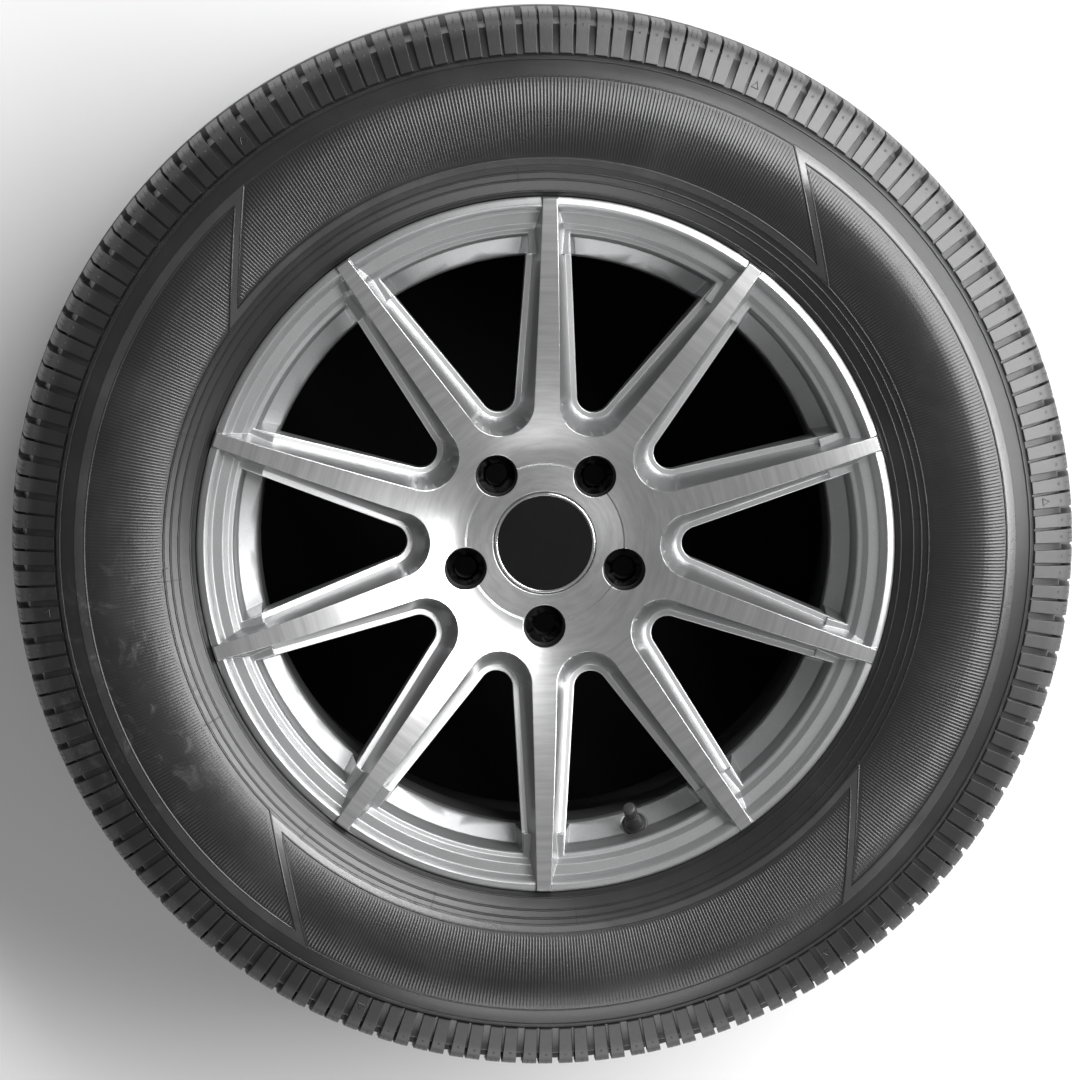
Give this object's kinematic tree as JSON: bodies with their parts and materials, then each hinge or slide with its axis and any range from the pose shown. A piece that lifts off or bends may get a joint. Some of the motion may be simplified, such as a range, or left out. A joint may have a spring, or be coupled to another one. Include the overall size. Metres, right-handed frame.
{
  "type": "car tyre on alloy wheel",
  "caption": "Radial car tyre mounted on a spoked cast alloy wheel, with a centre cap and a snap-in valve. It bolts to a hub and rolls on its tread.",
  "frame": {"origin": "on the axle, midway between the rim flanges, which is also the middle of the tread", "axes": "+Z along the axle towards the styled outer face, +Y towards the top of the wheel as pictured, with the valve near the bottom; the part lies on its inboard sidewall"},
  "size_m": [0.7371, 0.7372, 0.241],
  "materials": {
    "tyre": "satin moulded rubber",
    "alloy": "turned face, silver paint elsewhere",
    "dark_plastic": "moulded",
    "bright_ring": "polished",
    "black_gloss": "gloss",
    "spring_steel": "bright wire",
    "rubber": "matte",
    "brass": "machined"
  },
  "bodies": {
    "wheel_and_tyre": {"tyre": "tyre", "wheel": "alloy", "cap_body": "dark_plastic", "cap_ring": "bright_ring", "cap_disc": "black_gloss", "cap_spring_ring": "spring_steel", "valve_rubber": "rubber", "valve_tube": "brass", "valve_core": "brass", "valve_spring": "spring_steel"},
    "valve_pin": {"valve_pin": "brass", "valve_pin_seal": "rubber"},
    "valve_cap": {"valve_cap": "dark_plastic", "valve_cap_seal": "rubber"}
  },
  "joints": [
    {"name": "valve_pin_press", "type": "slide", "parent": "wheel_and_tyre", "child": "valve_pin", "axis": [0.1822, -0.5778, -0.7956], "range_m": [0, 0.0015], "stiffness_N_per_m": 900, "springref_m": -0.0015, "deforming": ["valve_spring"]},
    {"name": "valve_cap_lift", "type": "slide", "parent": "wheel_and_tyre", "child": "valve_cap", "axis": [-0.1822, 0.5778, 0.7956], "range_m": [0, 0.012]}
  ]
}
